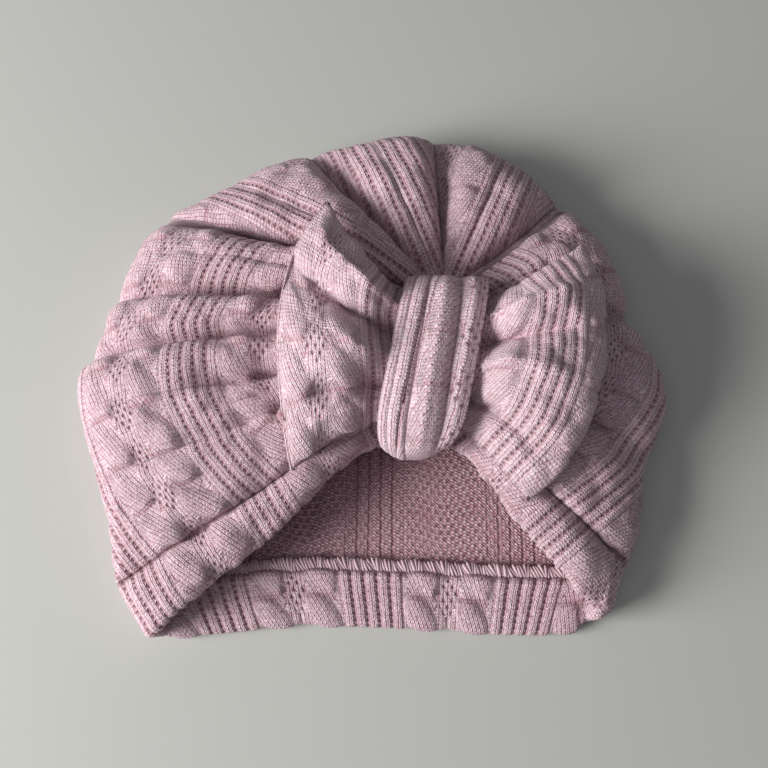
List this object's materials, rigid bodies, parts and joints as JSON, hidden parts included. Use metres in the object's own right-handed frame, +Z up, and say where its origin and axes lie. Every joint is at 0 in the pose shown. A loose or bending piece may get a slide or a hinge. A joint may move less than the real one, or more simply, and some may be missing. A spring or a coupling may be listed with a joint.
{
  "type": "turban headwrap",
  "caption": "Knitted baby turban headwrap lying on its back, with a gathered crown, a hem turned inside and a soft bow held by a pleated wrap.",
  "frame": {"origin": "on the surface that the hat lies on, under the middle of the crown's plan", "axes": "+X across the face to the right in the picture, +Y from the face opening to the top of the crown, +Z up, the way the bow faces"},
  "size_m": [0.2119, 0.1862, 0.0525],
  "materials": {
    "crown_knit": "dusty pink fancy cotton knit",
    "overlock_thread": "pink overlock thread",
    "bow_knit": "dusty pink fancy cotton knit, doubled",
    "knot_knit": "dusty pink fancy cotton knit, pleated"
  },
  "bodies": {
    "root": {"crown": "crown_knit", "hem_overlock": "overlock_thread", "bow": "bow_knit", "knot_wrap": "knot_knit"}
  },
  "joints": []
}
